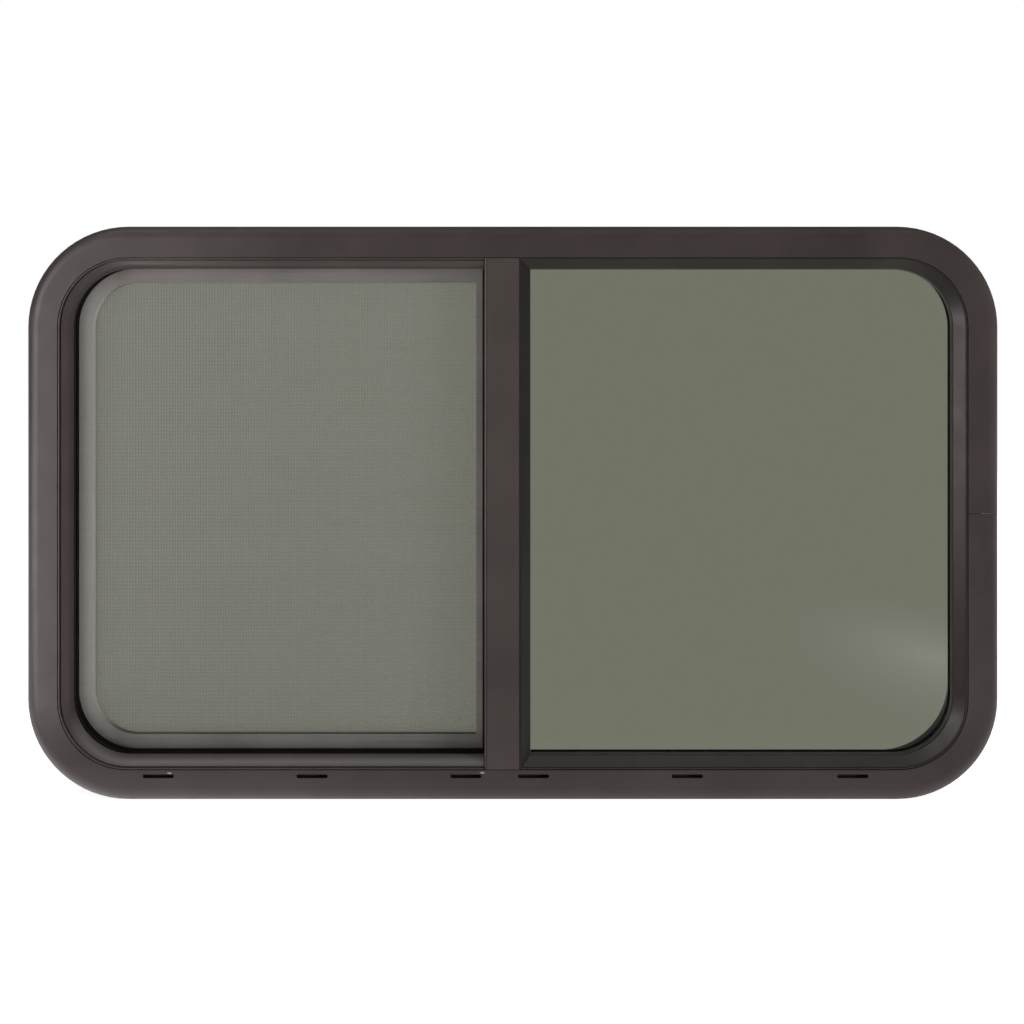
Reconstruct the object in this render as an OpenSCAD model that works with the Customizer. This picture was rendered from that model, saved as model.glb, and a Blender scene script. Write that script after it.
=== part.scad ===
// Caravan window: a horizontal slider with rounded corners, seen from outside.
// X runs to the right, Z runs up and -Y points out of the vehicle.
// The plane y = 0 is the outer skin of the wall, which the flange lies on.
// Sections are drawn with u, the distance inward from the flange's outer edge, along 2D x
// and the depth y along 2D y. A sweep then takes them round the window.

/* [Overall] */
// Width over the flange
width = 965; // [900:5:1300]
// Height over the flange
height = 570; // [450:5:800]
// Outer radius of the flange's corners
corner_r = 100; // [90:1:140]
// Thickness of the wall that the window clamps
wall_thick = 44; // [44:0.5:50]
// Distance from the window's middle to the mullion's glazing edge
mullion_x = 6.5; // [-60:0.5:60]

/* [Frame extrusion] */
// Wall of the frame extrusion
frame_wall = 1.8; // [1.4:0.1:2]
// Visible width of the flange
flange_w = 31; // [29:0.5:34]
// Height of the flange's face above the wall
flange_h = 6.5; // [5.5:0.1:8]
// Width of the flange's curved outer part
crown_w = 12; // [8:0.5:16]
// Height of the flange's upright rim
rim_h = 1.8; // [1:0.1:2.5]
// Width of the foot that the rim stands on
rim_foot = 2.5; // [2:0.1:4]
// Overlap of the flange on the wall beside the cut-out
wall_overlap = 16.5; // [15:0.5:17]
// Play between the frame's body and the cut-out
cutout_play = 1.5; // [1:0.1:3]
// Depth of the shelf that the beads stand on, behind the wall's skin
shelf_y = 0.4; // [0:0.1:0.8]
// Thickness of the fins between the tracks
fin_t = 1.4; // [1:0.1:1.6]
// Reach of the fin behind the fixed pane from the flange's edge
fin_u = 39.5; // [37:0.5:40]
// Reach of the fin behind the screen from the flange's edge
mid_fin_u = 35.5; // [33:0.5:37]
// Reach of the chamber behind the tracks from the flange's edge
chamber_u = 25.6; // [25.2:0.1:27]
// Depth of the chamber over its walls
chamber_d = 6; // [5.5:0.1:6.3]
// Width of the saw kerf where the frame's ends meet
kerf = 0.4; // [0.2:0.1:1]

/* [Weep slots] */
// Spacing of the weep slots
slot_pitch = 152.4; // [100:0.1:160]
// Length of a weep slot
slot_l = 31; // [20:1:40]
// Height of a weep slot
slot_h = 3.8; // [3:0.1:4]
// Height of the slots above the flange's lower edge
slot_z = 25; // [23:0.1:25.3]
// Place of the first slot left of the mullion's glazing edge
slot_left = 53; // [40:1:60]
// Place of the first slot right of the mullion's glazing edge
slot_right = 14; // [12:1:40]
// Distance of the last slot on the right from where the corner starts
slot_end = 30.2; // [20:0.1:60]

/* [Beads] */
// Wall of the bead extrusions
bead_wall = 1.4; // [1.2:0.1:1.8]
// Gap between the flange's inner edge and a bead
bead_gap = 0.7; // [0.3:0.1:1]
// Width of the glazing bead's face
bead_w = 10; // [9:0.1:11]
// Drop of the glazing bead's face towards the glass
bead_drop = 9; // [7:0.1:10]
// Step of a bead's face below the flange's face
bead_step = 0.4; // [0.2:0.1:0.8]
// Radius of the screen bead's rounded face
round_r = 11.1; // [10:0.1:11.5]
// Width of the screen bead's outer ridge
ridge_w = 1.1; // [1:0.1:1.5]
// Width of the groove beside the ridge
groove_w = 1.5; // [1:0.1:2]
// Set of the screen bead's rounded face below the flange's face
round_set = 1; // [0.5:0.1:1.5]
// Height of a bead's foot over the shelf
foot_h = 2.2; // [1.8:0.1:2.4]
// Distance from the frame's body to a bead's foot
foot_gap = 6.9; // [6:0.1:7.2]

/* [Glass] */
// Thickness of the panes
glass_t = 4; // [3:0.5:5]
// Depth of the fixed pane's outer face behind the wall's skin
fixed_y = 8.5; // [7:0.1:9]
// Distance of the fixed pane's edge from the flange's edge
fixed_u = 31; // [30:0.5:33]
// Depth of the sliding pane's outer face behind the wall's skin
slide_y = 31.5; // [31.3:0.1:31.6]
// Distance of the sliding pane's edge from the flange's edge
slide_u = 22.5; // [22:0.1:23.2]
// Wall of the rubber channel round the fixed pane
rubber_t = 1.5; // [1:0.1:1.8]
// Stand of the rubber's lip past the glazing bead
lip_stand = 0.5; // [0.2:0.1:1]
// Thickness of the rubber's lip
lip_t = 3; // [2:0.1:4]
// Thickness of the rubber behind the fixed pane
rubber_back = 2; // [1.5:0.1:3]

/* [Mullion] */
// Width of the mullion's face
mullion_w = 34.7; // [30:0.5:40]
// Bend radius at the mullion's left edge
mullion_bend = 2; // [1.9:0.1:3]
// Width of the shadow groove beside that edge
line_w = 0.8; // [0.5:0.1:1.2]
// Depth of the shadow groove
line_d = 0.6; // [0.3:0.1:0.8]
// Width of the mullion's box
mullion_box = 7.5; // [7:0.1:9]

/* [Insect screen] */
// Width of the screen's rails
rail_w = 24.7; // [24:0.1:27]
// Thickness of the screen's rails
rail_t = 7; // [6.5:0.1:7.2]
// Wall of the screen's rails
rail_wall = 1.2; // [1:0.1:1.5]
// Distance of the screen's outer edge from the flange's edge
rail_u = 30; // [29:0.5:32]
// Distance from a rail's inner edge to its spline groove
groove_set = 8.3; // [7:0.1:9]
// Reach of the screen's stile behind the mullion
screen_lap = 15.6; // [10:0.1:15.7]
// Depth of the mesh below the screen's face
mesh_set = 5.3; // [4:0.1:5.4]
// Reach of the screen's seal from the flange's edge
seal_u = 40.3; // [40:0.1:41]
// Stand of the seal's upright to the left of the mullion
seal_stand = 2.6; // [0.5:0.1:3]
// Radius of the spline that holds the mesh
spline_r = 1.3; // [1:0.1:1.4]
// Thickness of the mesh sheet
mesh_t = 0.3; // [0.2:0.1:0.5]

/* [Sliding pane] */
// Width of the meeting stile
stile_w = 24; // [20:1:30]
// Wall of the meeting stile
stile_wall = 1.5; // [1.2:0.1:2]
// Reach of the meeting stile to the left of the mullion's glazing edge
stile_lap = 21; // [19:0.5:23]
// Bite of the glass in the meeting stile
stile_bite = 12; // [8:1:14]
// Length of a glide
glide_l = 40; // [20:1:60]

/* [Clamp ring] */
// Wall of the clamp ring
ring_wall = 1.6; // [1.2:0.1:2]
// Setback of the ring's edge from the flange's edge
ring_u = 1; // [0:0.5:6]
// Inner edge of the ring's band that bears on the wall, from the flange's edge
ring_seat_u = 17.4; // [16.8:0.1:17.6]
// Relief of the ring inside that band, where it passes over the chamber
ring_relief = 0.3; // [0.2:0.1:0.5]
// Radius of the ring's screw holes
screw_r = 2.1; // [1.8:0.1:2.6]
// Radius of the pilot holes in the frame
pilot_r = 1.5; // [1.2:0.1:1.7]
// Greatest spacing of the screws
screw_pitch = 160; // [120:5:200]

/* [Latch] */
// Height of the latch's body
latch_h = 34; // [30:1:60]
// Width of the latch's body
latch_w = 20; // [16:0.5:22]
// Depth of the latch's body behind the meeting stile
latch_d = 7; // [6:0.5:9]
// Distance of the latch's body from the clamp ring
latch_gap = 3; // [2:0.5:5]
// Height of the lever
lever_h = 26; // [20:1:28]
// Reach of the lever past the body
lever_reach = 2.8; // [2:0.1:3]

/* [Hidden] */
$fn = 96;

bronze = "#57514d";
dark_bronze = "#4a4542";
screen_grey = "#6f6a66";
rubber = "#181818";
tint = [0.42, 0.43, 0.38, 0.6];

// Clearances
hair = 0.1;       // round the mesh and its spline
fit = 0.3;        // between pieces that slide or fold into each other
trim_gap = 0.6;   // at the ends of the mullion's face and of the screen bead
rail_play = 4.4;  // in front of the screen in its track, for its seal
rail_back = 0.8;  // behind the screen in its track
past = 1;         // reach of a cutter past the wall that it cuts

mid_z = height / 2;
face_y = -flange_h;
web_u = wall_overlap + cutout_play;
track_u = web_u + frame_wall;
bead_u = flange_w + bead_gap;

// Depths of the fins and tracks
fin_a = fixed_y + glass_t + rubber_back;
rail_y = fin_a + fin_t + rail_play;
fin_b = rail_y + rail_t + rail_back;
slide_play = slide_y - fin_b - fin_t;
fin_c = slide_y + glass_t + slide_play;
chamber_y = fin_c + chamber_d;

// The mullion repeats the frame's glazing side, so its own u starts here
mull_0 = mullion_x - flange_w;
mullion_left = mullion_x - mullion_w;
box_left = mull_0 + track_u - mullion_box;
face_end = flange_w + trim_gap;

bead_seat = track_u + foot_gap;
bead_floor = shelf_y - foot_h;
nose_u = bead_u + bead_w;
nose_y = face_y + bead_step + bead_drop;
lip_u = nose_u + lip_stand;
gasket_u = fixed_u - rubber_t;

screen_right = mullion_left + screen_lap;
screen_0 = screen_right + rail_u;
screen_in = rail_u + rail_w;
groove_u = screen_in - groove_set;
mesh_y = rail_y + mesh_set;

stile_x = mullion_x - stile_lap;
glass_right = stile_x + stile_bite;

ring_leg = chamber_u + fit;
latch_u = ring_leg + ring_wall + latch_gap;
latch_y = slide_y + glass_t + stile_wall;
latch_x = stile_x + stile_w / 2;

// Rectangle of a section from (u0, y0) to (u1, y1)
module wall(u0, y0, u1, y1) {
    translate([u0, y0]) square([u1 - u0, y1 - y0]);
}

// Lays a section along the window's bottom edge, from x0 to x1
module bottom_run(x0, x1) {
    translate([x1, 0, 0]) rotate([0, -90, 0]) linear_extrude(x1 - x0) children();
}

// The same along the top edge
module top_run(x0, x1) {
    translate([0, 0, height]) mirror([0, 0, 1]) bottom_run(x0, x1) children();
}

// Stands a section upright with its u along +x from x = 0, from z0 to z1
module upright(z0, z1) {
    translate([0, 0, z0]) linear_extrude(z1 - z0) children();
}

module left_run() {
    translate([-width / 2, 0, 0]) upright(corner_r, height - corner_r) children();
}

module right_run() {
    mirror([1, 0, 0]) left_run() children();
}

// Turns a section through the lower left corner
module corner() {
    translate([corner_r - width / 2, 0, corner_r])
        rotate([-90, 0, 0])
            rotate([0, 0, 90])
                rotate_extrude(angle = 90)
                    translate([corner_r, 0]) mirror([1, 0]) children();
}

module upper_corner() {
    translate([0, 0, height]) mirror([0, 0, 1]) corner() children();
}

// Sweeps a section round the left half, from x0 to the left and back
module left_half(x0) {
    bottom_run(corner_r - width / 2, x0) children();
    top_run(corner_r - width / 2, x0) children();
    left_run() children();
    corner() children();
    upper_corner() children();
}

// Sweeps a section round the right half, starting from x0
module right_half(x0) {
    mirror([1, 0, 0]) left_half(-x0) children();
}

// Sweeps a section all the way round
module full_ring() {
    left_half(0) children();
    right_half(0) children();
}

// Flat plate with the window's rounded outline, set in by u, between two depths
module rounded_plate(u, y0, y1, x0 = -width, x1 = width) {
    left = max(x0, u - width / 2);
    right = min(x1, width / 2 - u);
    r = corner_r - u;
    translate([0, y1, 0]) rotate([90, 0, 0]) linear_extrude(y1 - y0)
        intersection() {
            translate([left, u]) square([right - left, height - 2 * u]);
            union() {
                translate([u - width / 2 + r, u]) square([width - 2 * u - 2 * r, height - 2 * u]);
                translate([u - width / 2, u + r]) square([width - 2 * u, height - 2 * u - 2 * r]);
                for (sx = [-1, 1], z = [corner_r, height - corner_r])
                    translate([sx * (width / 2 - corner_r), z]) circle(r);
            }
        }
}

// Curved outer part of the flange: an arc that is level where the flat face starts
module crown() {
    rise = flange_h - rim_h;
    arc_r = (crown_w * crown_w + rise * rise) / (2 * rise);
    intersection() {
        translate([crown_w, face_y + arc_r]) difference() {
            circle(arc_r, $fn = 240);
            circle(arc_r - frame_wall, $fn = 240);
        }
        wall(0, face_y, crown_w, 0);
    }
    wall(frame_wall / 4, -rim_h, rim_foot, 0);
    wall(crown_w, face_y, flange_w, face_y + frame_wall);
}

module frame_section() {
    crown();
    wall(web_u, face_y, track_u, chamber_y);
    wall(web_u, shelf_y, flange_w, shelf_y + fin_t);
    wall(web_u, fin_a, fin_u, fin_a + fin_t);
    wall(web_u, fin_b, mid_fin_u, fin_b + fin_t);
    wall(rail_u - fit - fin_t, fin_a + fin_t, rail_u - fit, fin_b);
    wall(web_u, fin_c, chamber_u, fin_c + fin_t);
    wall(chamber_u - fin_t, fin_c, chamber_u, chamber_y);
    wall(web_u, chamber_y - fin_t, chamber_u, chamber_y);
}

// Places children at each clamp screw, with the screw's axis along y
module at_screws() {
    u = (track_u + chamber_u - fin_t) / 2;
    run_x = width - 2 * corner_r;
    run_z = height - 2 * corner_r;
    nx = ceil(run_x / screw_pitch);
    nz = ceil(run_z / screw_pitch);
    arm = (corner_r - u) * sqrt(0.5);
    for (i = [0 : nx], z = [u, height - u])
        translate([-run_x / 2 + i * run_x / nx, 0, z]) rotate([-90, 0, 0]) children();
    for (i = [0 : nz - 1], sx = [-1, 1])
        translate([sx * (width / 2 - u), 0, corner_r + (i + 0.5) * run_z / nz])
            rotate([-90, 0, 0]) children();
    for (sx = [-1, 1], z = [corner_r - arm, height - corner_r + arm])
        translate([sx * (width / 2 - corner_r + arm), 0, z]) rotate([-90, 0, 0]) children();
}

// Round-ended weep slot, cut from the front through the flange's plate
module weep_slot(x) {
    r = slot_h / 2;
    deep = frame_wall + 2 * past;
    translate([x, face_y - past, slot_z]) rotate([-90, 0, 0]) {
        for (s = [-1, 1])
            translate([s * (slot_l / 2 - r), 0, 0]) cylinder(h = deep, r = r, $fn = 48);
        translate([r - slot_l / 2, -r, 0]) cube([slot_l - slot_h, slot_h, deep]);
    }
}

module main_frame() {
    color(bronze) difference() {
        full_ring() frame_section();
        for (i = [0 : 2]) weep_slot(mullion_x - slot_left - i * slot_pitch);
        for (i = [0 : 1]) weep_slot(mullion_x + slot_right + i * slot_pitch);
        weep_slot(width / 2 - corner_r - slot_end - slot_l / 2);
        translate([width / 2 - fin_u - past, face_y - past, mid_z - kerf / 2])
            cube([fin_u + 2 * past, chamber_y + flange_h + 2 * past, kerf]);
        at_screws() translate([0, 0, chamber_y - fin_t - past])
            cylinder(h = fin_t + 2 * past, r = pilot_r);
    }
}

// Bar inside the chamber that lines up the frame's two ends
module joint_key() {
    key_l = 80;
    color("silver") translate([0, 0, mid_z - key_l / 2])
        mirror([1, 0, 0]) translate([-width / 2, 0, 0])
            linear_extrude(key_l)
                wall(track_u + fit, fin_c + fin_t + fit, chamber_u - fin_t - fit,
                     chamber_y - fin_t - fit);
}

// Foot that both beads share: it snaps behind the flange and stands on the shelf
module bead_foot(top_u) {
    wall(bead_seat, bead_floor - bead_wall, top_u, bead_floor);
    wall(bead_seat, bead_floor, bead_seat + bead_wall, shelf_y);
}

// Trim of the screen's half: a ridge, a groove and a rounded face that dives inward
module screen_bead_section() {
    ridge = bead_u + ridge_w;
    round_u = ridge + groove_w;
    centre_u = nose_u - round_r;
    centre_y = face_y + round_set + round_r;
    bead_foot(round_u + bead_wall);
    wall(bead_u, face_y + bead_step, ridge, bead_floor);
    wall(round_u, face_y + round_set + bead_wall, round_u + bead_wall, bead_floor);
    intersection() {
        translate([centre_u, centre_y]) difference() {
            circle(round_r, $fn = 200);
            circle(round_r - bead_wall, $fn = 200);
        }
        wall(round_u, face_y, nose_u, centre_y);
    }
}

module screen_bead() {
    color(bronze) left_half(mullion_left - trim_gap) screen_bead_section();
}

// Glazing bead: a heel beside the flange, a sloping face and a short nose on the rubber
module fixed_bead_section() {
    top = face_y + bead_step;
    bead_foot(bead_u + bead_wall);
    wall(bead_u, top, bead_u + bead_wall, bead_floor);
    polygon([
        [bead_u, top], [nose_u, nose_y],
        [nose_u, nose_y + bead_wall], [bead_u, top + bead_wall]
    ]);
}

// Prism with 45 degree mitres at both ends of an upright whose own u starts at x0 and runs
// to the right (way = 1) or to the left (way = -1)
module mitre_prism(x0, way) {
    deep = wall_thick + flange_h;
    translate([0, deep, 0]) rotate([90, 0, 0]) linear_extrude(2 * deep)
        polygon([[x0, 0], [x0 + way * mid_z, mid_z], [x0, height]]);
}

module fixed_bead() {
    color(dark_bronze) difference() {
        right_half(mull_0 + bead_seat) fixed_bead_section();
        mitre_prism(mull_0, 1);
    }
}

// The mullion's glazing bead has the same section and the matching mitres
module mullion_bead() {
    color(dark_bronze) intersection() {
        translate([mull_0, 0, 0]) upright(bead_seat, height - bead_seat) fixed_bead_section();
        mitre_prism(mull_0, 1);
    }
}

module mullion() {
    box_right = mull_0 + track_u;
    bend_x = mullion_left + mullion_bend;
    rear = fin_a + fin_t;
    color(bronze) {
        upright(face_end, height - face_end) {
            wall(bend_x, face_y + line_d, mullion_x, face_y + frame_wall);
            wall(bend_x + line_w, face_y, mullion_x, face_y + line_d);
            intersection() {
                translate([bend_x, face_y + mullion_bend]) difference() {
                    circle(mullion_bend, $fn = 48);
                    circle(mullion_bend - frame_wall, $fn = 48);
                }
                wall(mullion_left, face_y, bend_x, face_y + mullion_bend);
            }
            wall(mullion_left, face_y + mullion_bend, mullion_left + frame_wall,
                 shelf_y - trim_gap);
            wall(box_left, face_y, box_left + frame_wall, fin_a);
            wall(box_right - frame_wall, face_y, box_right, fin_a);
            wall(box_right - frame_wall, shelf_y, mullion_x, shelf_y + fin_t);
        }
        upright(fin_u + fit, height - fin_u - fit) {
            wall(box_left, fin_a, mull_0 + fin_u, rear);
            wall(box_left, rear, box_left + frame_wall, fin_b - fit);
        }
        upright(seal_u + fit, height - seal_u - fit)
            wall(mullion_left, shelf_y - trim_gap, mullion_left + frame_wall, rear);
        for (z = [track_u, height - face_end])
            upright(z, z + face_end - track_u) {
                wall(box_left, shelf_y + fin_t + fit, box_left + frame_wall, fin_a - fit);
                wall(box_right - frame_wall, shelf_y + fin_t + fit, box_right, fin_a - fit);
            }
    }
}

module fixed_glass() {
    color(tint)
        rounded_plate(fixed_u, fixed_y, fixed_y + glass_t, mull_0 + fixed_u, width);
}

// Rubber channel round the fixed pane, with a tall lip up to the bead's nose
module gasket_section() {
    wall(gasket_u, fixed_y - rubber_t, fixed_u, fin_a);
    wall(fixed_u, fixed_y - rubber_t, lip_u, fixed_y);
    wall(fixed_u, fixed_y + glass_t, fin_u, fin_a);
    wall(lip_u - lip_t, nose_y + bead_wall, lip_u, fixed_y);
}

module fixed_gasket() {
    color(rubber) {
        difference() {
            right_half(mull_0 + gasket_u) gasket_section();
            mitre_prism(mull_0, 1);
        }
        intersection() {
            translate([mull_0, 0, 0]) upright(gasket_u, height - gasket_u) gasket_section();
            mitre_prism(mull_0, 1);
        }
    }
}

module setting_blocks() {
    block_l = 50;
    places = [0.15, 0.85];
    pane_l = width / 2 - corner_r - mullion_x;
    color(rubber) for (f = places)
        translate([mullion_x + f * pane_l - block_l / 2, shelf_y + fin_t + fit, track_u])
            cube([block_l, fin_a - shelf_y - fin_t - 2 * fit, gasket_u - track_u]);
}

// Black rubber seal in front of the screen: it hooks over the first fin, and its upright lies
// behind the mullion's left leg
module screen_seal() {
    front = fin_a + fin_t;
    back = rail_y - fit;
    upright_w = seal_stand + 2 * frame_wall;
    color(rubber) {
        left_half(mullion_left - seal_stand + upright_w) {
            wall(flange_w, front, seal_u, back);
            wall(fin_u, fin_a, seal_u, front);
        }
        translate([mullion_left - seal_stand, 0, 0]) upright(fin_u, height - fin_u)
            wall(0, front, upright_w, back);
    }
}

module screen_rail_section() {
    back = rail_y + rail_t;
    tube_u = groove_u - hair;
    lip_0 = groove_u + 2 * spline_r + hair;
    difference() {
        wall(rail_u, rail_y, tube_u, back);
        wall(rail_u + rail_wall, rail_y + rail_wall, tube_u - rail_wall, back - rail_wall);
    }
    wall(tube_u, rail_y, screen_in, rail_y + rail_wall);
    wall(lip_0, rail_y, lip_0 + rail_wall, mesh_y);
    wall(screen_in - rail_wall, rail_y, screen_in, mesh_y - fit);
}

module screen_frame() {
    color(screen_grey) difference() {
        left_half(screen_right) screen_rail_section();
        mitre_prism(screen_0, -1);
    }
}

module screen_stile() {
    color(screen_grey) intersection() {
        translate([screen_0, 0, 0]) mirror([1, 0, 0])
            upright(rail_u, height - rail_u) screen_rail_section();
        mitre_prism(screen_0, -1);
    }
}

// Angle pieces that join the rails to the stile inside their tubes
module screen_keys() {
    play = 0.15;
    leg = 40;
    low = rail_u + rail_wall + play;
    deep = rail_t - 2 * rail_wall - 2 * play;
    arm = groove_u - hair - rail_wall - play - low;
    module key() {
        translate([screen_0 - low - leg, rail_y + rail_wall + play, low]) {
            cube([leg, deep, arm]);
            translate([leg - arm, 0, 0]) cube([arm, deep, leg]);
        }
    }
    color("gray") {
        key();
        translate([0, 0, height]) mirror([0, 0, 1]) key();
    }
}

module screen_mesh() {
    edge = groove_u + 2 * (spline_r + hair);
    color([0.5, 0.5, 0.48, 0.5])
        rounded_plate(edge, mesh_y, mesh_y + mesh_t, -width, screen_0 - edge);
}

module screen_spline() {
    r = spline_r;
    y = mesh_y + mesh_t / 2;
    color(rubber) {
        left_half(screen_0 - groove_u - 2 * r - fit)
            translate([groove_u + r, y]) circle(r, $fn = 24);
        translate([screen_0 - groove_u - r, y, groove_u])
            cylinder(h = height - 2 * groove_u, r = r, $fn = 24);
    }
}

module sliding_glass() {
    color(tint) rounded_plate(slide_u, slide_y, slide_y + glass_t, -width, glass_right);
}

// Channel on the sliding pane's closing edge
module meeting_stile() {
    front = slide_y - stile_wall;
    back = slide_y + glass_t + stile_wall;
    color(bronze) translate([stile_x, 0, 0]) upright(slide_u, height - slide_u) {
        wall(0, front, stile_w, slide_y);
        wall(0, slide_y + glass_t, stile_w, back);
        wall(stile_bite, front, stile_bite + stile_wall, back);
        wall(stile_w - stile_wall, front, stile_w, back);
    }
}

// Moulded caps that run in the track under and over the meeting stile
module stile_caps() {
    front = slide_y - stile_wall;
    deep = glass_t + 2 * stile_wall;
    color(rubber) for (z = [track_u, height - slide_u])
        translate([stile_x, front, z]) cube([stile_w, deep, slide_u - track_u]);
}

// Pile strip between the mullion and the meeting stile
module mullion_pile() {
    color(rubber) translate([box_left, fin_b - fit, fin_u + fit])
        cube([frame_wall, slide_y - stile_wall - fin_b, height - 2 * fin_u - 2 * fit]);
}

// Glides between the sliding pane's edges and the tracks
module track_glides() {
    margin = 20;
    first = corner_r + margin - width / 2;
    last = stile_x - glide_l - margin;
    color("ivory") for (x = [first, (first + last) / 2, last], z = [track_u, height - slide_u])
        translate([x, fin_b + fin_t + fit, z])
            cube([glide_l, fin_c - fin_b - fin_t - 2 * fit, slide_u - track_u]);
}

// Rubber buffers that the sliding pane's leading edge closes on
module jamb_buffers() {
    buffer_l = 30;
    places = [0.2, 0.8];
    run = height - 2 * corner_r;
    color(rubber) for (f = places)
        translate([track_u - width / 2, slide_y, corner_r + f * run - buffer_l / 2])
            cube([slide_u - track_u, glass_t, buffer_l]);
}

// Latch at the foot of the meeting stile, behind the mullion
module latch_body() {
    r = 3;
    color("#202020") translate([latch_x - latch_w / 2, latch_y + latch_d, latch_u])
        rotate([90, 0, 0]) linear_extrude(latch_d) union() {
            translate([r, 0]) square([latch_w - 2 * r, latch_h]);
            translate([0, r]) square([latch_w, latch_h - 2 * r]);
            for (x = [r, latch_w - r], z = [r, latch_h - r]) translate([x, z]) circle(r, $fn = 32);
        }
}

// Lever whose lower end hooks behind the keeper, with a rib for the thumb
module latch_lever() {
    lever_w = 14;
    lever_t = 2.5;
    rib_t = 3;
    rib_d = 6.5;
    color("#2a2a2a") translate([latch_x - lever_w / 2, latch_y + latch_d, latch_u]) {
        translate([0, 0, -lever_reach]) cube([lever_w, lever_t, lever_h + lever_reach]);
        translate([0, 0, lever_h - rib_t]) cube([lever_w, lever_t + rib_d, rib_t]);
    }
}

// Strike on the clamp ring's leg
module latch_keeper() {
    plate_t = 1.2;
    strike = 1.2;
    y0 = fin_c + 2;
    y1 = latch_y + latch_d - fit;
    color("silver") translate([latch_x - latch_w / 2, 0, ring_leg + ring_wall]) {
        translate([0, y0, 0]) cube([latch_w, y1 - y0, plate_t]);
        translate([0, y1 - plate_t, 0]) cube([latch_w, plate_t, plate_t + strike]);
    }
}

// Trim ring that clamps the wall from inside, an angle with its leg round the chamber
module clamp_ring() {
    rear = wall_thick + ring_wall;
    color(bronze) difference() {
        full_ring() {
            wall(ring_u, wall_thick, ring_seat_u, rear);
            wall(ring_seat_u, wall_thick + ring_relief, ring_leg + ring_wall, rear);
            wall(ring_leg, fin_c + 1, ring_leg + ring_wall, rear);
        }
        at_screws() translate([0, 0, wall_thick - past])
            cylinder(h = ring_wall + 2 * past, r = screw_r);
    }
}

main_frame();
joint_key();
screen_bead();
fixed_bead();
mullion();
mullion_bead();
fixed_glass();
fixed_gasket();
setting_blocks();
screen_seal();
screen_frame();
screen_stile();
screen_keys();
screen_mesh();
screen_spline();
sliding_glass();
meeting_stile();
stile_caps();
mullion_pile();
track_glides();
jamb_buffers();
latch_body();
latch_lever();
latch_keeper();
clamp_ring();
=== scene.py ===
# %% [markdown]
# # Looks for a sliding caravan window
#
# The window is a painted aluminium frame with rounded corners. Its right pane is fixed, and
# its left pane slides behind an insect screen. The solids come ready from CAD, so this lesson
# only loads them, gives every piece its finish and adds what is too fine for CAD: the woven
# screen, the pile in the mullion and the clamp screws on the inside. Lengths are in metres.

# %% Load the solids
import math

import bmesh
import bpy
from mathutils import Matrix, Vector


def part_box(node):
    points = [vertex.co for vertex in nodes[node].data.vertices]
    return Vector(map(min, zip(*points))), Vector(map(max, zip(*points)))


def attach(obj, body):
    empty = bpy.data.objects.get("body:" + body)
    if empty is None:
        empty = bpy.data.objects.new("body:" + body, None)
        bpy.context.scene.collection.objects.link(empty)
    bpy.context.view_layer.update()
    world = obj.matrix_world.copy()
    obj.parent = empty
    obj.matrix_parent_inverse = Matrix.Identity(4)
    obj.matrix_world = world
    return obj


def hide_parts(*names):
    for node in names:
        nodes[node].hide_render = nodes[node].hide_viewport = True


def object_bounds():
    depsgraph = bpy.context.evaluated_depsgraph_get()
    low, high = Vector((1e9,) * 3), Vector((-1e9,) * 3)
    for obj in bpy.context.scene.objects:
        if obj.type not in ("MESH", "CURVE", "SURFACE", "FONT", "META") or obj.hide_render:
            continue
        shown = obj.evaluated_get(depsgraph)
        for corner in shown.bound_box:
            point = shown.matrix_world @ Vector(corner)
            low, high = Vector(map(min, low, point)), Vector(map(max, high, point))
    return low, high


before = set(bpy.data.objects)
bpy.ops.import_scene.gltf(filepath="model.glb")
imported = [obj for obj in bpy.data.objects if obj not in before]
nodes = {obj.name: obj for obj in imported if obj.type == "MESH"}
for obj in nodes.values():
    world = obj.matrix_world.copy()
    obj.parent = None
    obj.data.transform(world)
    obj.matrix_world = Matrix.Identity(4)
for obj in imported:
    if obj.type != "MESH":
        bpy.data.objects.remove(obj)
cad_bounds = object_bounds()
print(len(nodes), "solids, box in metres", [[round(v, 4) for v in c] for c in cad_bounds])

# %% [markdown]
# ## The camera
#
# The photograph is level and square to the window, and the deeper parts of the frame look
# smaller than the front, so it was taken from close by. A short lens about 0.9 m away gives
# the same depths. Parallel edges must stay parallel, so the camera isn't tilted: its height is
# the height the photograph was taken from, and the lens shift moves the picture down.

# %% The camera
MM = 0.001
SENSOR = 36.0
# How far in front of the window's face the viewer stands, in metres.
EYE = 0.9

camera_data = bpy.data.cameras.new("camera")
camera_data.sensor_width = SENSOR
camera_data.lens = 31.94
camera_data.shift_x = -0.0008
camera_data.shift_y = -0.1855
camera_data.clip_start = 0.01
camera = bpy.data.objects.new("camera", camera_data)
camera.location = (0.0, -0.9065, 0.475)
camera.rotation_euler = (math.radians(90), 0, 0)
bpy.context.scene.collection.objects.link(camera)
bpy.context.scene.camera = camera
bpy.context.scene.view_settings.view_transform = "Standard"
print("the camera sees", round(SENSOR / camera_data.lens * EYE, 3), "m across the window's face")

# %% [markdown]
# ## Building materials from nodes
#
# Every finish below is a Principled shader with a few procedural textures. They read Object
# coordinates, which are metres here because each solid's object sits at the origin, so a
# grain of half a millimetre is simply a scale of 2000. Small helpers keep each finish short.

# %% Helpers for materials
def new_finish(name):
    """A material with its Principled shader, and its node tree's tools."""
    material = bpy.data.materials.new(name)
    material.use_nodes = True
    tree = material.node_tree
    return material, tree, tree.nodes["Principled BSDF"]


def feed(tree, value, entry):
    """Sets an input to a number or a colour, or links another node's value to it."""
    if isinstance(value, (int, float)):
        entry.default_value = value
    elif isinstance(value, tuple):
        entry.default_value = (*value, 1)
    else:
        tree.links.new(value, entry)


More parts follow.
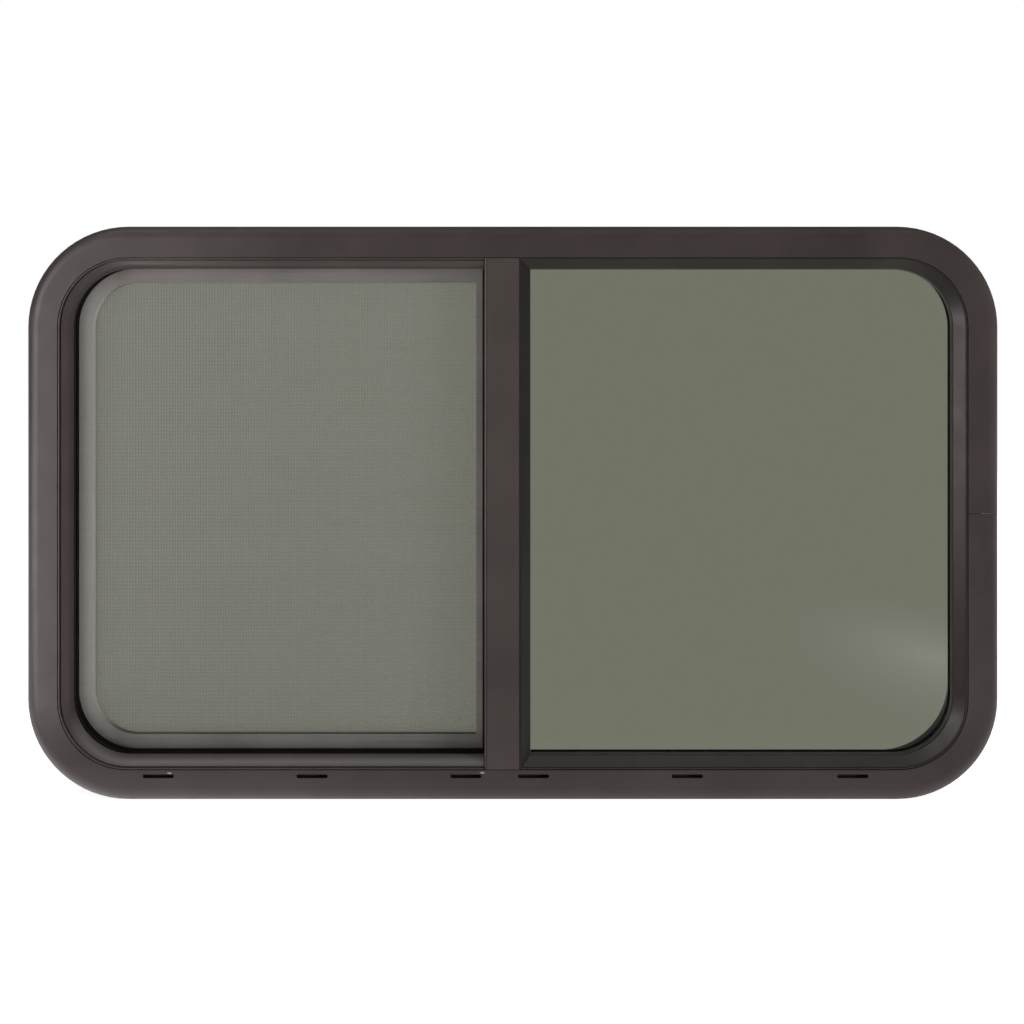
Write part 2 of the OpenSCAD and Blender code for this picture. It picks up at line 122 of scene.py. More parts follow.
def parts_of(tree, node_type, socket):
    """X, Y and Z of a coordinate or a normal, each as a value of its own."""
    source = tree.nodes.new(node_type)
    split = tree.nodes.new("ShaderNodeSeparateXYZ")
    tree.links.new(source.outputs[socket], split.inputs[0])
    return split.outputs


def noise(tree, scale, detail=2.0, stretch=(1, 1, 1)):
    """Noise in the row frame: scale is in waves a metre, and stretch slows it along an axis."""
    place = tree.nodes.new("ShaderNodeTexCoord")
    mapping = tree.nodes.new("ShaderNodeMapping")
    mapping.inputs["Scale"].default_value = stretch
    texture = tree.nodes.new("ShaderNodeTexNoise")
    texture.inputs["Scale"].default_value = scale
    texture.inputs["Detail"].default_value = detail
    tree.links.new(place.outputs["Object"], mapping.inputs["Vector"])
    tree.links.new(mapping.outputs["Vector"], texture.inputs["Vector"])
    return texture.outputs["Fac"]


def gradient(tree, kind, centre, half_sizes):
    """1 at the centre, and 0 from the half sizes outward."""
    place = tree.nodes.new("ShaderNodeTexCoord")
    around = tree.nodes.new("ShaderNodeMapping")
    around.vector_type = "TEXTURE"
    around.inputs["Location"].default_value = centre
    around.inputs["Scale"].default_value = half_sizes
    ball = tree.nodes.new("ShaderNodeTexGradient")
    ball.gradient_type = kind
    tree.links.new(place.outputs["Object"], around.inputs["Vector"])
    tree.links.new(around.outputs["Vector"], ball.inputs["Vector"])
    return ball.outputs["Fac"]


def spread(tree, value, low, high, start=0.3, end=0.7):
    """Maps a texture's usual range to the range low to high."""
    node = tree.nodes.new("ShaderNodeMapRange")
    node.inputs["From Min"].default_value = start
    node.inputs["From Max"].default_value = end
    node.inputs["To Min"].default_value = low
    node.inputs["To Max"].default_value = high
    tree.links.new(value, node.inputs["Value"])
    return node.outputs["Result"]


def blend_colours(tree, factor, first, second):
    """A colour between two colours, by a factor from 0 to 1."""
    node = tree.nodes.new("ShaderNodeMix")
    node.data_type = "RGBA"
    for socket, colour in (("A", first), ("B", second)):
        entry = [s for s in node.inputs if s.name == socket and s.type == "RGBA"][0]
        feed(tree, colour, entry)
    tree.links.new(factor, node.inputs["Factor"])
    return [s for s in node.outputs if s.type == "RGBA"][0]


def grain_bump(tree, shader, height, distance, strength, under=None):
    """Adds a fine relief, distance metres high."""
    node = tree.nodes.new("ShaderNodeBump")
    node.inputs["Strength"].default_value = strength
    node.inputs["Distance"].default_value = distance
    tree.links.new(height, node.inputs["Height"])
    if under:
        tree.links.new(under, node.inputs["Normal"])
    tree.links.new(node.outputs["Normal"], shader.inputs["Normal"])
    return node.outputs["Normal"]


def finish_nodes(material, *names):
    """Gives these CAD nodes a finish."""
    for name in names:
        solid = nodes[name]
        if not solid.data.materials:
            solid.data.materials.append(material)
        for place in solid.material_slots:
            place.material = material
    print(material.name, "on", ", ".join(names))


# %% [markdown]
# ## Satin paint on the aluminium
#
# The frame is sprayed after it is bent. Spray paint has a very fine orange peel, a tone that
# drifts a little over a hand's breadth, and dust in the air that dries on as specks. Each is
# one noise at its own scale: about 1.5 mm for the peel, 0.1 m for the tone and 0.6 mm for the
# dust. The same recipe in other colours serves the beads and the insect screen's frame.
#
# A sprayed edge is never sharp, so a Bevel node rounds the edges for the light alone. Light
# is painted into the colour too: the screen's left upright lighter towards its outer side and
# the screen frame's faces turned to the right lighter, the trim lighter where it faces up, two
# painted glints over the slots, and the bead beside the mullion darker, as painted shade from its
# channel.

# %% Painted light and painted glints on the paint
# Painted light: the left upright's lighter tone, the tone of faces turned to the right, and the painted
# glints' tone.
UPRIGHT_LIGHT_TONE, RIGHT_FACING_LIGHT_TONE, GLINT_TONE = (0.60, 0.57, 0.54), (0.52, 0.49, 0.46), (0.42, 0.41, 0.40)
# Painted light from above, for what faces up.
TOP_LIGHT_TONE = (0.34, 0.32, 0.30)
# The left upright lies between these places, in metres from the window's middle.
UPRIGHT_LEFT, UPRIGHT_RIGHT = -0.432, -0.402
# Half sizes of a painted glint, in metres. It runs through the metal's whole depth.
GLINT_HALF = (0.0032, 0.2, 0.0012)


def upright_painted_light(tree, tone):
    """Painted light on the screen's frame: lighter towards the left upright's outer side, and on faces
    turned to the right.
    """
    across = parts_of(tree, "ShaderNodeTexCoord", "Object")["X"]
    facing = parts_of(tree, "ShaderNodeNewGeometry", "Normal")["X"]
    fade = spread(tree, across, 0.34, 0, UPRIGHT_LEFT, UPRIGHT_RIGHT)
    edge = spread(tree, facing, 0, 0.75, 0.5, 0.9)
    return blend_colours(tree, edge, blend_colours(tree, fade, tone, UPRIGHT_LIGHT_TONE), RIGHT_FACING_LIGHT_TONE)


def painted_glint(tree, tone, x, z):
    """A painted glint, a small pale spot, at a place seen from the front."""
    ball = gradient(tree, "SPHERICAL", (x, 0, z), GLINT_HALF)
    return blend_colours(tree, spread(tree, ball, 0, 0.9, 0.1, 0.6), tone, GLINT_TONE)


def lit_from_above(tree, tone, top_light):
    """Painted light from above on what faces up; the last argument is its share there."""
    up = parts_of(tree, "ShaderNodeNewGeometry", "Normal")["Z"]
    return blend_colours(tree, spread(tree, up, 0, top_light, 0.2, 0.6), tone, TOP_LIGHT_TONE)


print("chips are", 2 * GLINT_HALF[0] / MM, "mm long")

# %% Satin paints
# Scales of the noises, in waves a metre.
TONE, SPECKS, SHEEN, PEEL, FINE_PEEL = 11, 1700, 60, 700, 3800
# Heights of the two peels, and the radius that the light sees on each edge.
PEEL_H, FINE_PEEL_H, EDGE_R = 0.02 * MM, 0.01 * MM, 0.4 * MM
SHINE, SHINE_TINT = 0.35, (1.0, 0.94, 0.92)
# Painted glints, just over the right ends of the first and third weep slots.
GLINT_PLACES = ((-0.3402, 0.0281), (-0.0302, 0.0285))


def satin_paint(name, colour, gloss, streaks=0.0, lit_upright=False, top_light=0.0, glints=()):
    """Sprayed paint, with gloss as its middle roughness and the painted light and painted glints that
    the piece is given.
    """
    material, tree, shader = new_finish(name)
    darker = tuple(0.80 * c for c in colour)
    lighter = tuple(1.16 * c for c in colour)
    dust = tuple(0.10 + 1.4 * c for c in colour)
    tone = blend_colours(tree, spread(tree, noise(tree, TONE, 3), 0, 1), darker, lighter)
    if streaks:
        drawn = noise(tree, 420, 3, (0.02, 1, 1))
        tone = blend_colours(tree, spread(tree, drawn, 0, streaks, 0.45, 0.75), tone,
                             tuple(1.5 * c for c in colour))
    # Painted light on the left upright and on faces turned to the right.
    if lit_upright:
        tone = upright_painted_light(tree, tone)
    # Painted glints: small pale spots blended into the tone.
    for x, z in glints:
        tone = painted_glint(tree, tone, x, z)
    # Up-facing surfaces painted lighter, as light from above.
    if top_light:
        tone = lit_from_above(tree, tone, top_light)
    specks = spread(tree, noise(tree, SPECKS, 1), 0, 0.35, 0.70, 0.80)
    tree.links.new(blend_colours(tree, specks, tone, dust), shader.inputs["Base Color"])
    tree.links.new(spread(tree, noise(tree, SHEEN, 4), gloss - 0.05, gloss + 0.07),
                   shader.inputs["Roughness"])
    shader.inputs["Specular IOR Level"].default_value = SHINE
    shader.inputs["Specular Tint"].default_value = (*SHINE_TINT, 1)
    rounded = tree.nodes.new("ShaderNodeBevel")
    rounded.samples = 3
    rounded.inputs["Radius"].default_value = EDGE_R
    peeled = grain_bump(tree, shader, noise(tree, PEEL, 2), PEEL_H, 0.5, rounded.outputs[0])
    grain_bump(tree, shader, noise(tree, FINE_PEEL, 2), FINE_PEEL_H, 0.5, peeled)
    return material


# The frame's paint carries the two painted glints.
bronze_paint = satin_paint("bronze_paint", (0.0455, 0.0355, 0.0335), 0.36, glints=GLINT_PLACES)
# The trim's up-facing surfaces get painted light from above.
trim_paint = satin_paint("trim_paint", (0.062, 0.0500, 0.0455), 0.36, top_light=0.32)
bead_paint = satin_paint("bead_paint", (0.027, 0.0225, 0.0205), 0.34)
shaded_bead = satin_paint("shaded_bead", (0.019, 0.0170, 0.0145), 0.34)
# The screen's frame carries the painted light of the left upright and of its right-facing faces.
screen_paint = satin_paint("screen_paint", (0.185, 0.168, 0.158), 0.42, streaks=0.3, lit_upright=True)
finish_nodes(bronze_paint, "main_frame", "meeting_stile", "clamp_ring")
finish_nodes(trim_paint, "screen_bead", "mullion")
finish_nodes(bead_paint, "fixed_bead")
finish_nodes(shaded_bead, "mullion_bead")
finish_nodes(screen_paint, "screen_frame", "screen_stile")

# %% [markdown]
# ## Tinted glass
#
# Grey-bronze safety glass lets about a sixth of the light through. A shader with full
# transmission takes its base colour from that share, and the pane's two faces give the faint
# reflections. A very faint haze in the roughness stands for the film that a pane collects.

# %% Glass
# The shares of red, green and blue light that a pane lets through.
LET_THROUGH = (0.162, 0.168, 0.126)
glass, tree, shader = new_finish("tinted_glass")
shader.inputs["Base Color"].default_value = (*LET_THROUGH, 1)
shader.inputs["Transmission Weight"].default_value = 1.0
shader.inputs["IOR"].default_value = 1.52
tree.links.new(spread(tree, noise(tree, 7, 4), 0.0, 0.03), shader.inputs["Roughness"])
finish_nodes(glass, "fixed_glass", "sliding_glass")

# %% [markdown]
# ## Rubber, plastics and bare metal
#
# The rubber channel is extruded and nearly matt, with a bloom that shows as grey patches.
# The latch is moulded with a fine leather-like grain, and the glides are natural nylon, which
# lets a little light in. The keys inside the frame are plain sawn aluminium, brushed along
# their length by the die.

# %% Rubber
def soft_black(name, colour, bloom, roughness, grain, shine=0.3):
    """Rubber, plastic or pile: bloom is the tone of its grey patches, grain its fineness."""
    material, tree, shader = new_finish(name)
    patches = spread(tree, noise(tree, 45, 4), 0, 1)
    tree.links.new(blend_colours(tree, patches, colour, bloom), shader.inputs["Base Color"])
    tree.links.new(spread(tree, noise(tree, 220, 2), roughness - 0.08, roughness + 0.08),
                   shader.inputs["Roughness"])
    shader.inputs["Specular IOR Level"].default_value = shine
    grain_bump(tree, shader, noise(tree, grain, 2), 0.00004, 0.6)
    return material


black_rubber = soft_black("black_rubber", (0.004, 0.004, 0.004), (0.007, 0.007, 0.006), 0.70, 2400,
                          shine=0.1)
grey_rubber = soft_black("grey_rubber", (0.080, 0.080, 0.070), (0.105, 0.104, 0.092), 0.55, 2400)
black_plastic = soft_black("black_plastic", (0.012, 0.012, 0.012), (0.018, 0.018, 0.018), 0.45, 1500)
finish_nodes(black_rubber, "setting_blocks", "screen_seal", "screen_spline", "jamb_buffers")
finish_nodes(grey_rubber, "fixed_gasket")
finish_nodes(black_plastic, "stile_caps", "latch_body", "latch_lever")

# %% Bare aluminium and nylon
bare_aluminium, tree, shader = new_finish("bare_aluminium")
drawn = noise(tree, 900, 3, (1, 1, 0.03))
tree.links.new(blend_colours(tree, spread(tree, drawn, 0, 1),
                             (0.48, 0.48, 0.47), (0.62, 0.62, 0.61)), shader.inputs["Base Color"])
tree.links.new(spread(tree, drawn, 0.30, 0.48), shader.inputs["Roughness"])
shader.inputs["Metallic"].default_value = 1.0
grain_bump(tree, shader, drawn, 0.00002, 0.5)

nylon, tree, shader = new_finish("natural_plastic")
tree.links.new(blend_colours(tree, spread(tree, noise(tree, 90, 3), 0, 1),
                             (0.60, 0.57, 0.49), (0.70, 0.67, 0.59)), shader.inputs["Base Color"])
shader.inputs["Roughness"].default_value = 0.4
shader.inputs["Subsurface Weight"].default_value = 0.15
shader.inputs["Subsurface Scale"].default_value = 0.002
grain_bump(tree, shader, noise(tree, 1200, 2), 0.00002, 0.5)
finish_nodes(bare_aluminium, "joint_key", "screen_keys", "latch_keeper")
finish_nodes(nylon, "track_glides")

# %% [markdown]
# ## The woven insect screen
#
# The screen is a cloth of coated glass yarn, with 18 level and 16 upright threads an inch. In CAD
# it is a plain thin sheet. A picture of a mesh would swim and blur, so the threads are real:
# each is a four-sided bar from edge to edge, the upright ones lying on the level ones as they
# do at the crossings. The cloth is cut round at the corners of its frame, so every thread's
# ends come from the outline: a rounded rectangle whose left corners follow the window's.

# %% Threads of the screen
INCH = 0.0254
CORNER_R = 0.100
THREAD = 0.00028


def add_bar(mesh, start, end, width, depth):
    """A four-sided bar between two points of the cloth, which stands in the x-z plane."""
    along = (end - start).normalized()
    side = Vector((along.z, 0, -along.x)) * width / 2
    out = Vector((0, depth / 2, 0))
    ring = [-side - out, side - out, side + out, -side + out]
    first = [mesh.verts.new(start + r) for r in ring]
    last = [mesh.verts.new(end + r) for r in ring]
    for i in range(4):
        j = (i + 1) % 4
        mesh.faces.new((first[i], first[j], last[j], last[i]))
    mesh.faces.new(first[::-1])
    mesh.faces.new(last)


def rounding(distance, radius):
    """How far a round corner cuts in, at a distance inward from its straight side."""
    if distance >= radius:
        return 0.0
    return radius - math.sqrt(radius ** 2 - (radius - distance) ** 2)


def new_piece(name, mesh, material):
    """Makes a piece of a bmesh, with its finish and the body that it rides on."""
    bmesh.ops.recalc_face_normals(mesh, faces=mesh.faces)
    data = bpy.data.meshes.new(name)
    mesh.to_mesh(data)
    mesh.free()
    data.materials.append(material)
    piece = bpy.data.objects.new(name, data)
    bpy.context.scene.collection.objects.link(piece)
    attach(piece, "root")
    print(name, len(data.polygons), "faces")
    return piece


cloth_low, cloth_high = (Vector(c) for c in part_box("screen_mesh"))
cloth_r = CORNER_R - (cloth_low.x - cad_bounds[0][0])
cloth_y = (cloth_low.y + cloth_high.y) / 2
cloth = bmesh.new()
level_pitch, upright_pitch = INCH / 18, INCH / 16
# The upright threads lie this much nearer the front than the middle, and the level ones behind.
CROSSING = THREAD / 8

uprights = int((cloth_high.x - cloth_low.x) / upright_pitch)
for i in range(uprights):
    x = cloth_low.x + (i + 0.5) * upright_pitch
    cut = rounding(x - cloth_low.x, cloth_r)
    y = cloth_y - CROSSING
    add_bar(cloth, Vector((x, y, cloth_low.z + cut)), Vector((x, y, cloth_high.z - cut)),
            THREAD, THREAD)
levels = int((cloth_high.z - cloth_low.z) / level_pitch)
for i in range(levels):
    z = cloth_low.z + (i + 0.5) * level_pitch
    cut = rounding(min(z - cloth_low.z, cloth_high.z - z), cloth_r)
    y = cloth_y + CROSSING
    add_bar(cloth, Vector((cloth_low.x + cut, y, z)), Vector((cloth_high.x, y, z)),
            THREAD, THREAD)
print(uprights, "upright threads and", levels, "level ones")

# %% Yarn and the finished screen
yarn, tree, shader = new_finish("mesh_fabric")
tree.links.new(blend_colours(tree, spread(tree, noise(tree, 2500, 2), 0, 1),
                             (0.272, 0.266, 0.248), (0.332, 0.325, 0.305)), shader.inputs["Base Color"])
shader.inputs["Roughness"].default_value = 0.5
grain_bump(tree, shader, noise(tree, 9000, 1), 0.00003, 0.5)

screen_cloth = new_piece("screen_cloth", cloth, yarn)
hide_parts("screen_mesh")

# %% [markdown]
# ## Pile in the mullion
#
# A strip of brush pile keeps draughts out where the sliding pane passes the mullion. It is a
# stiff backing with short tufts of fibre. Hair particles would be slow for so little, so each
# tuft is a small pointed blade with a slight lean of its own, taken from a sine so that every
# run gives the same strip.

# %% Pile strip
pile_low, pile_high = (Vector(c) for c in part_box("mullion_pile"))
BACKING = 0.5 * MM
TUFT_PITCH = 1.1 * MM
TUFT_R, TUFT_HALF, LEAN = 0.25 * MM, 0.45 * MM, 0.18 * MM
ROWS = 3
strip = bmesh.new()
mid = (pile_low + pile_high) / 2
width = pile_high.x - pile_low.x
back_y = pile_low.y + BACKING / 2
add_bar(strip, Vector((mid.x, back_y, pile_low.z)), Vector((mid.x, back_y, pile_high.z)),
        width, BACKING)
for i in range(int((pile_high.z - pile_low.z) / TUFT_PITCH) - 1):
    for row in range(ROWS):
        foot = Vector((pile_low.x + (row + 0.5) * width / ROWS, pile_low.y + BACKING,
                       pile_low.z + (i + 0.75 + 0.25 * row) * TUFT_PITCH))
        lean = LEAN * math.sin(12.9 * i + 4.1 * row)
        tip = Vector((foot.x + lean, pile_high.y, foot.z + lean))
        base = [strip.verts.new(foot + Vector((TUFT_R * math.cos(a), 0, TUFT_HALF * math.sin(a))))
                for a in (0.3, 2.4, 4.5)]
        point = strip.verts.new(tip)
        for a in range(3):
            strip.faces.new((base[a], base[(a + 1) % 3], point))
        strip.faces.new(base[::-1])

pile_fibre = soft_black("pile", (0.010, 0.010, 0.010), (0.028, 0.028, 0.028), 0.85, 5000)
pile_strip = new_piece("pile_strip", strip, pile_fibre)
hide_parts("mullion_pile")

# %% [markdown]
# ## Clamp screws
#
# Twenty-two screws through the trim ring pull the frame onto the wall. Their pan heads show on
# the inside. One head is turned from its profile as on a lathe, a tapered cross is cut from it
# with a boolean, and the result is set at each hole: along the straight sides at an even
# spacing, and one in the middle of each corner.

# %% One screw
def lathe(mesh, profile, segments):
    """Turns (radius, height) points, which start and end on the axis, about z."""
    rings = []
    for radius, height in profile:
        if radius == 0:
            rings.append([mesh.verts.new((0, 0, height))])
        else:
            rings.append([mesh.verts.new((radius * math.cos(math.tau * k / segments),
                                          radius * math.sin(math.tau * k / segments), height))
                          for k in range(segments)])
    for low, high in zip(rings, rings[1:]):
        for k in range(segments):
            n = (k + 1) % segments
            corners = [low[k % len(low)], low[n % len(low)],
                       high[n % len(high)], high[k % len(high)]]
            # At a point on the axis two corners are one, and the face is a triangle.
            mesh.faces.new(list(dict.fromkeys(corners)))


HEAD_R, HEAD_H, SHANK_R, SHANK_L = 3.6 * MM, 2.1 * MM, 1.4 * MM, 8.6 * MM
head_profile = [(0, -SHANK_L), (0.5 * MM, -SHANK_L + 0.6 * MM), (SHANK_R, -SHANK_L + 2.2 * MM),
                (SHANK_R, 0), (HEAD_R - 0.15 * MM, 0), (HEAD_R, 0.15 * MM),
                (HEAD_R, 0.9 * MM), (HEAD_R - 0.35 * MM, 1.45 * MM), (HEAD_R - 1.0 * MM, 1.85 * MM),
                (HEAD_R - 2.0 * MM, HEAD_H - 0.05 * MM), (0, HEAD_H)]
turned = bmesh.new()
lathe(turned, head_profile, 32)
bmesh.ops.recalc_face_normals(turned, faces=turned.faces)
head_data = bpy.data.meshes.new("head")
turned.to_mesh(head_data)
turned.free()
head = bpy.data.objects.new("head", head_data)
print("one turned head:", len(head_data.polygons), "faces")

# %% The cross in its head
CORNERS = ((-1, -1), (1, -1), (1, 1), (-1, 1))
# Half length and half width of a wing, and its height: over the head, and at the bottom.
WING_TOP = (1.9 * MM, 0.42 * MM, HEAD_H + 0.3 * MM)
WING_FOOT = (0.9 * MM, 0.30 * MM, HEAD_H - 1.3 * MM)

cross = bmesh.new()
for turn in (0, 90):
    spin = Matrix.Rotation(math.radians(turn), 4, "Z")
    upper, lower = ([cross.verts.new(spin @ Vector((x * long, y * wide, height)))
                     for x, y in CORNERS] for long, wide, height in (WING_TOP, WING_FOOT))
    cross.faces.new(upper)
    cross.faces.new(lower[::-1])
    for k in range(4):
        cross.faces.new((lower[k], lower[(k + 1) % 4], upper[(k + 1) % 4], upper[k]))
cross_data = bpy.data.meshes.new("cross")
cross.to_mesh(cross_data)
cross.free()
cutter = bpy.data.objects.new("cross", cross_data)
for thing in (head, cutter):
    bpy.context.scene.collection.objects.link(thing)
cut = head.modifiers.new("cross", "BOOLEAN")
cut.operation = "DIFFERENCE"
cut.solver = "EXACT"
cut.use_self = True
cut.object = cutter
bpy.context.view_layer.update()
screw_data = bpy.data.meshes.new_from_object(
    head.evaluated_get(bpy.context.evaluated_depsgraph_get()))
for thing in (head, cutter):
    bpy.data.objects.remove(thing)
print("one screw:", len(screw_data.polygons), "faces")

# %% [markdown]
# The holes' places follow the frame: their line runs 22 mm inside the flange's edge, the
# straight runs are shared out evenly, and each corner has one at 45 degrees.

# %% All the screws
SCREW_U = 22 * MM
low, high = (Vector(c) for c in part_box("main_frame"))
run_x = (high.x - low.x) - 2 * CORNER_R
run_z = (high.z - low.z) - 2 * CORNER_R
MOST_APART = 0.160
across, up = math.ceil(run_x / MOST_APART), math.ceil(run_z / MOST_APART)
arm = (CORNER_R - SCREW_U) * math.sqrt(0.5)

places = [(-run_x / 2 + i * run_x / across, z)
          for i in range(across + 1) for z in (SCREW_U, high.z - SCREW_U)]
places += [(side * (high.x - SCREW_U), CORNER_R + (i + 0.5) * run_z / up)
           for i in range(up) for side in (-1, 1)]
places += [(side * (high.x - CORNER_R + arm), z)
           for side in (-1, 1) for z in (CORNER_R - arm, high.z - CORNER_R + arm)]

screws = bmesh.new()
ring_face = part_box("clamp_ring")[1][1]
for n, (x, z) in enumerate(places):
    seat = Matrix.Translation((x, ring_face, z)) @ Matrix.Rotation(math.radians(-90), 4, "X")
    one = screw_data.copy()
    one.transform(seat @ Matrix.Rotation(math.radians((n * 47) % 90), 4, "Z"))
    screws.from_mesh(one)
    bpy.data.meshes.remove(one)
clamp_screws = new_piece("clamp_screws", screws, bronze_paint)
print(len(places), "screws")

# %% [markdown]
# ## Floor, backdrop and light
#
# The background is plain white. A white world does that for what the camera sees and for what
# shows through the glass. Light that scatters off the object comes from a dimmer world and
# three soft lamps instead: one at the right, a low one in front at the left, and one inside
# for the back. The lamps show in no gloss and in no pane, because the room that gloss sees is
# drawn in the world itself: it has a day-lit wall at the left, which gives the frame's left
# and top edges their shine. The floor is white as well, but it mixes its own light with the
# lamps' light, so the window's soft shadow stays.

# %% World
WHITE = (1.0, 1.0, 1.0)
ROOM_GREY = 0.30
# The wall's brightness seen above the floor's line and in the floor, and the ceiling's.
WALL_HIGH, WALL_LOW, CEILING = 5.9, 4.8, 2.0
# Slopes, sideways over straight ahead, where the wall starts to show, is full, and ends.
WALL_STARTS, WALL_FULL, WALL_FADES, WALL_ENDS = -0.47, -0.51, -1.2, -1.9


def ray_is(tree, *kinds):
    """1 for rays of any of these kinds, such as Is Camera Ray, and 0 for the rest."""
    path = tree.nodes.new("ShaderNodeLightPath")
    found = path.outputs[kinds[0]]
    for kind in kinds[1:]:
        found = maths(tree, "MAXIMUM", found, path.outputs[kind])
    return found


def maths(tree, operation, first, second):
    """One sum on values or constants."""
    node = tree.nodes.new("ShaderNodeMath")
    node.operation = operation
    for entry, value in zip(node.inputs, (first, second)):
        feed(tree, value, entry)
    return node.outputs[0]


def product(tree, first, *others):
    """All the values multiplied, as when one fade limits another."""
    for other in others:
        first = maths(tree, "MULTIPLY", first, other)
    return first


def total(tree, first, *others):
    """All the values added, as light from several things adds up."""
    for other in others:
        first = maths(tree, "ADD", first, other)
    return first


def bright_wall(tree, x, ahead, level):
    """The day-lit wall on the left: full from 27 to 50 degrees from straight ahead."""
    slope = maths(tree, "DIVIDE", x, maths(tree, "MAXIMUM", ahead, 0.01))
    return product(tree, spread(tree, slope, 0, level, WALL_STARTS, WALL_FULL),
                   spread(tree, slope, 1, 0, WALL_FADES, WALL_ENDS))


def mix_shaders(tree, factor, first, second):
    """The first shader where the factor is 0, and the second where it is 1."""
    node = tree.nodes.new("ShaderNodeMixShader")
    tree.links.new(factor, node.inputs["Fac"])
    tree.links.new(first, node.inputs[1])
    tree.links.new(second, node.inputs[2])
    return node.outputs[0]


def light_source(tree, node_type, colour, strength):
    """A Background or an Emission shader of this colour and strength."""
    node = tree.nodes.new(node_type)
    feed(tree, colour, node.inputs["Color"])
    feed(tree, strength, node.inputs["Strength"])
    return node.outputs[0]


world = bpy.data.worlds.new("world")
bpy.context.scene.world = world
world.use_nodes = True
tree = world.node_tree
tree.nodes.remove(tree.nodes["Background"])
soft = light_source(tree, "ShaderNodeBackground", (0.97, 0.98, 1.0), 0.18)
plain = light_source(tree, "ShaderNodeBackground", WHITE, 1.0)
print("the wall is", WALL_HIGH / ROOM_GREY, "times as bright as the room's grey")

# %% [markdown]
# A room has one white sheet behind the window and dimmer walls elsewhere, which is why the
# curved edges of the frame stay dark in the photograph. So gloss sees white towards the sheet
# and a soft grey to the sides. Daylight falls on the wall at the left and on the ceiling's
# near corner, and the flange's crown mirrors both as two soft bands. The direction comes from
# the world's Generated coordinates.

# %% The room that gloss sees
toward = parts_of(tree, "ShaderNodeTexCoord", "Generated")
sheet = spread(tree, toward["Y"], ROOM_GREY, 1.0, 0.80, 0.97)
# The wall fades upward.
wall = product(tree, spread(tree, toward["Z"], 1, 0.15, 0.12, 0.42),
               bright_wall(tree, toward["X"], maths(tree, "MULTIPLY", toward["Y"], -1), WALL_HIGH))
# The ceiling is bright only high up, and most at the left in front.
ceiling = product(tree, spread(tree, toward["Z"], 0, CEILING, 0.50, 0.75),
                  spread(tree, toward["X"], 1, 0.35, -0.45, -0.18),
                  spread(tree, toward["Y"], 1, 0.05, -0.50, -0.30))
room = light_source(tree, "ShaderNodeBackground", WHITE, total(tree, sheet, wall, ceiling))
seen = mix_shaders(tree, ray_is(tree, "Is Glossy Ray"), plain, room)
# Light that rough glass scatters counts as gloss too, so what passes through it comes last.
seen = mix_shaders(tree, ray_is(tree, "Is Transmission Ray"), seen, plain)
direct = ray_is(tree, "Is Camera Ray", "Is Glossy Ray", "Is Transmission Ray")
tree.links.new(mix_shaders(tree, direct, soft, seen), tree.nodes["World Output"].inputs["Surface"])

# %% Floor
FLOOR = 6.0
# Light of its own that makes the floor white to the camera, and that falls on the window.
SEEN_GLOW, BOUNCE = 0.88, 0.70
floor_data = bpy.data.meshes.new("floor")
floor_data.from_pydata([(x * FLOOR, y * FLOOR, 0) for x, y in CORNERS], [], [(0, 1, 2, 3)])
floor = bpy.data.objects.new("floor", floor_data)
bpy.context.scene.collection.objects.link(floor)
floor_white, tree, shader = new_finish("floor_white")
shader.inputs["Base Color"].default_value = (0.82, 0.82, 0.82, 1)
shader.inputs["Roughness"].default_value = 0.9
shader.inputs["Specular IOR Level"].default_value = 0.0
even = light_source(tree, "ShaderNodeEmission", WHITE, 1.0)
lit, bright = (tree.nodes.new("ShaderNodeAddShader") for _ in range(2))
for node, strength in ((lit, SEEN_GLOW), (bright, BOUNCE)):
    tree.links.new(shader.outputs[0], node.inputs[0])
    tree.links.new(light_source(tree, "ShaderNodeEmission", WHITE, strength), node.inputs[1])
print("floor", 2 * FLOOR, "m wide")

# %% [markdown]
# What the panes mirror is the floor and the room in front. Both are the same soft grey, so
# that no horizon shows in the glass, and a patch of daylight lies on the floor to the right.
# Its reflection is the pale bloom low in the right pane. The bright wall goes on down to the
# floor at the left, a pale strip along the window's foot lights the lower edges, and behind
# the window the floor is as white as the sheet, so that the back views have no edge in them.

# %% Daylight on the floor
PATCH_PLACE, PATCH_HALF, PATCH_LIGHT = (0.60, -0.36, 0), (0.24, 0.34, 1), 1.8
SILL_DEPTH, SILL_LEFT, SILL_RIGHT = 0.11, 1.9, 0.6

spot = parts_of(tree, "ShaderNodeTexCoord", "Object")
in_front = spread(tree, spot["Y"], 1, 0, -0.01, 0.03)
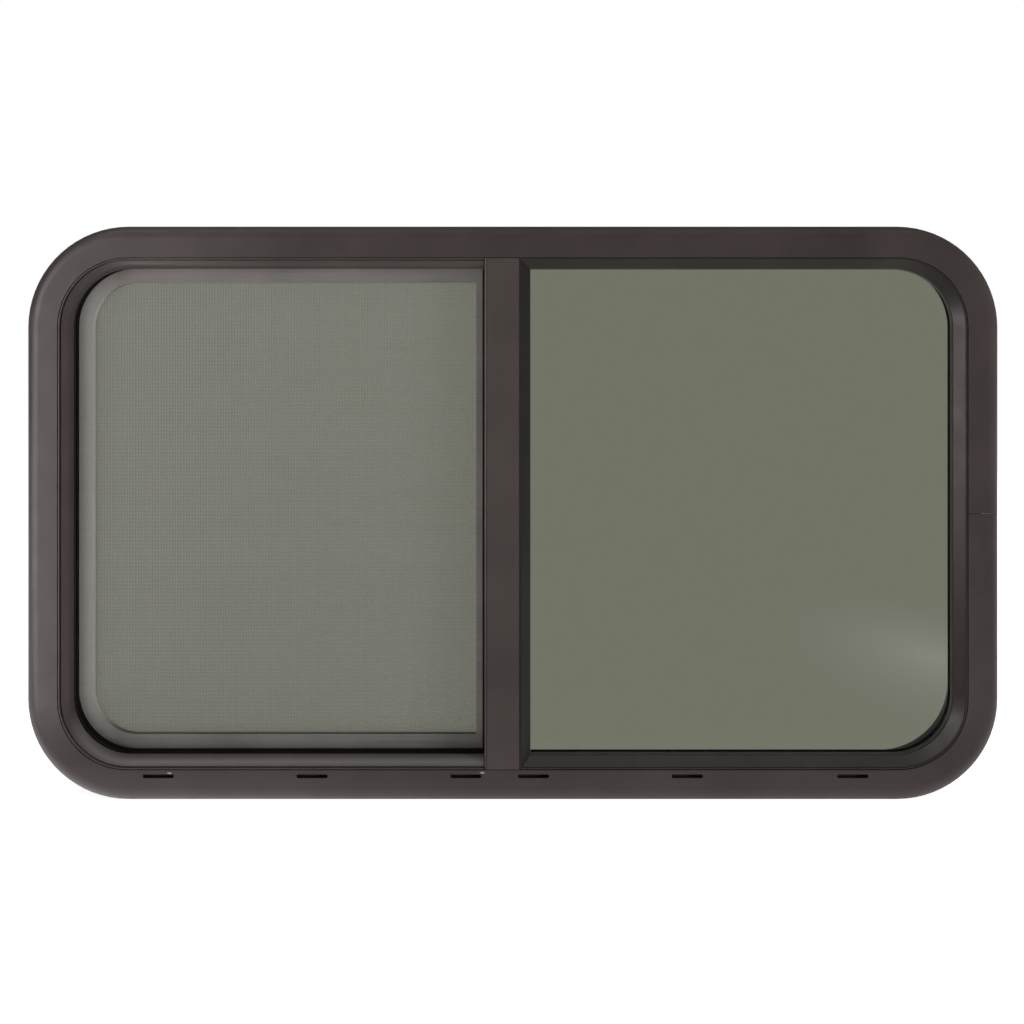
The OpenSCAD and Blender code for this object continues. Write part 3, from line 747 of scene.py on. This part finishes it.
# The wall shows on the floor seen from the viewer's place, and ends far off to the side.
sideways = maths(tree, "DIVIDE", spot["X"], maths(tree, "MINIMUM", spot["Y"], -0.01))
wall = product(tree, bright_wall(tree, spot["X"], maths(tree, "SUBTRACT", EYE, spot["Y"]), WALL_LOW),
               spread(tree, sideways, 1, 0, 3.2, 4.6), in_front)
sill = product(tree, spread(tree, spot["Y"], 0, 1, -SILL_DEPTH, -0.01),
               spread(tree, spot["X"], SILL_LEFT, SILL_RIGHT, -0.45, 0.10), in_front)
behind = spread(tree, spot["Y"], 0, 1 - ROOM_GREY, 0.0, 0.04)
daylight = spread(tree, gradient(tree, "QUADRATIC_SPHERE", PATCH_PLACE, PATCH_HALF),
                  ROOM_GREY, PATCH_LIGHT, 0, 1)
mirrored = light_source(tree, "ShaderNodeEmission", WHITE,
                        total(tree, daylight, behind, wall, sill))

near = mix_shaders(tree, ray_is(tree, "Is Camera Ray"), bright.outputs[0], lit.outputs[0])
near = mix_shaders(tree, ray_is(tree, "Is Glossy Ray"), near, mirrored)
tree.links.new(mix_shaders(tree, ray_is(tree, "Is Transmission Ray"), near, even),
               tree.nodes["Material Output"].inputs["Surface"])
floor_data.materials.append(floor_white)

# %% Lamps
def soft_lamp(name, place, target, width, height, power):
    """A rectangular lamp that lights the window and shows in no gloss and through no glass."""
    data = bpy.data.lights.new(name, "AREA")
    data.shape = "RECTANGLE"
    data.size, data.size_y = width, height
    data.energy = power
    lamp = bpy.data.objects.new(name, data)
    lamp.location = place
    lamp.rotation_euler = (Vector(target) - Vector(place)).to_track_quat("-Z", "Y").to_euler()
    lamp.visible_glossy = False
    lamp.visible_transmission = False
    bpy.context.scene.collection.objects.link(lamp)
    print(name, power, "W")


soft_lamp("right_fill", (2.2, -1.2, 0.4), (0, 0, 0.28), 0.8, 0.8, 23)
soft_lamp("front_fill", (-1.0, -1.9, 0.05), (-0.2, 0, 0.20), 0.8, 0.5, 11.5)
soft_lamp("inside_fill", (0.6, 1.8, 1.4), (0, 0, 0.28), 1.4, 1.4, 20)
